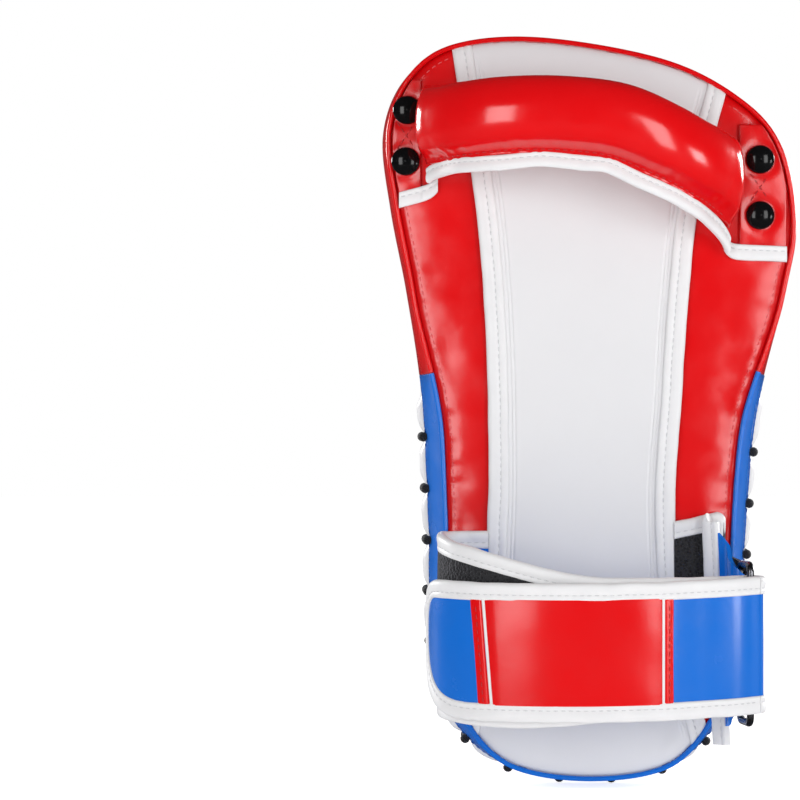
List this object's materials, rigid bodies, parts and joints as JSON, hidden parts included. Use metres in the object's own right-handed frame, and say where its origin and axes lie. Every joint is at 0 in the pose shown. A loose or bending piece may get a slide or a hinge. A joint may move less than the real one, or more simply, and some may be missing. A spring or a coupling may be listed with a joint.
{
  "type": "thai pad",
  "caption": "Padded kick pad for the forearm with a laced leather cover, a padded hand grip and a hook-and-loop strap through a wire ring.",
  "frame": {"origin": "on the arm panel's face, where the forearm rests under the middle of the strap", "axes": "+Z runs from the elbow end to the hand end, +Y towards the striking face, -Y towards the arm, +X to the right seen from the arm's side"},
  "size_m": [0.2244, 0.1629, 0.4039],
  "materials": {
    "red_leather": "glossy red leather",
    "blue_leather": "glossy blue leather",
    "white_leather": "white leather, finely grained",
    "white_binding": "white binding tape, stitched",
    "black_pile": "black hook or loop pile",
    "black_lace": "black woven lace",
    "black_cap": "glossy black domed cap",
    "dark_metal": "dark polished steel wire",
    "foam": "closed-cell foam, hidden by the cover"
  },
  "bodies": {
    "pad": {"foam_back": "foam", "foam_middle": "foam", "foam_front": "foam", "arm_cushion": "foam", "front_panel": "red_leather", "upper_side_wall": "red_leather", "rear_gusset": "blue_leather", "front_gusset": "blue_leather", "lacing_tongue": "white_leather", "back_panel_left": "red_leather", "back_panel_right": "red_leather", "arm_panel": "white_leather", "trim_left": "white_binding", "trim_right": "white_binding", "rear_welt_upper": "red_leather", "front_welt_upper": "red_leather", "rear_welt_lower": "blue_leather", "front_welt_lower": "blue_leather", "lace": "black_lace", "lace_upper_end": "black_lace", "lace_knot": "black_lace", "grip_cover": "red_leather", "grip_foam": "foam", "grip_binding": "white_binding", "grip_tab_left": "red_leather", "grip_tab_right": "red_leather", "tab_binding_left": "white_binding", "tab_binding_right": "white_binding", "rivet_1": "black_cap", "rivet_2": "black_cap", "rivet_3": "black_cap", "rivet_4": "black_cap", "strap_band": "blue_leather", "strap_loop_pile": "black_pile", "strap_binding_lower": "white_binding", "strap_binding_upper": "white_binding", "strap_fold": "blue_leather", "holder_base": "black_pile", "holder_flap": "blue_leather", "holder_binding_lower": "white_binding", "holder_binding_upper": "white_binding", "flap_binding": "white_binding"},
    "tail": {"tail_band": "blue_leather", "tail_binding": "white_binding", "tail_patch": "red_leather", "hook_tape": "black_pile"},
    "ring": {"strap_ring": "dark_metal"}
  },
  "joints": [
    {"name": "tail", "type": "hinge", "parent": "pad", "child": "tail", "pos_m": [0.082, -0.044, 0.005], "axis": [0, 0, 1], "range_deg": [0, 160], "deforming": ["strap_fold"]},
    {"name": "ring_swing", "type": "hinge", "parent": "pad", "child": "ring", "pos_m": [0.079, -0.02, 0.005], "axis": [0, 0, 1], "range_deg": [-2, 2]}
  ]
}
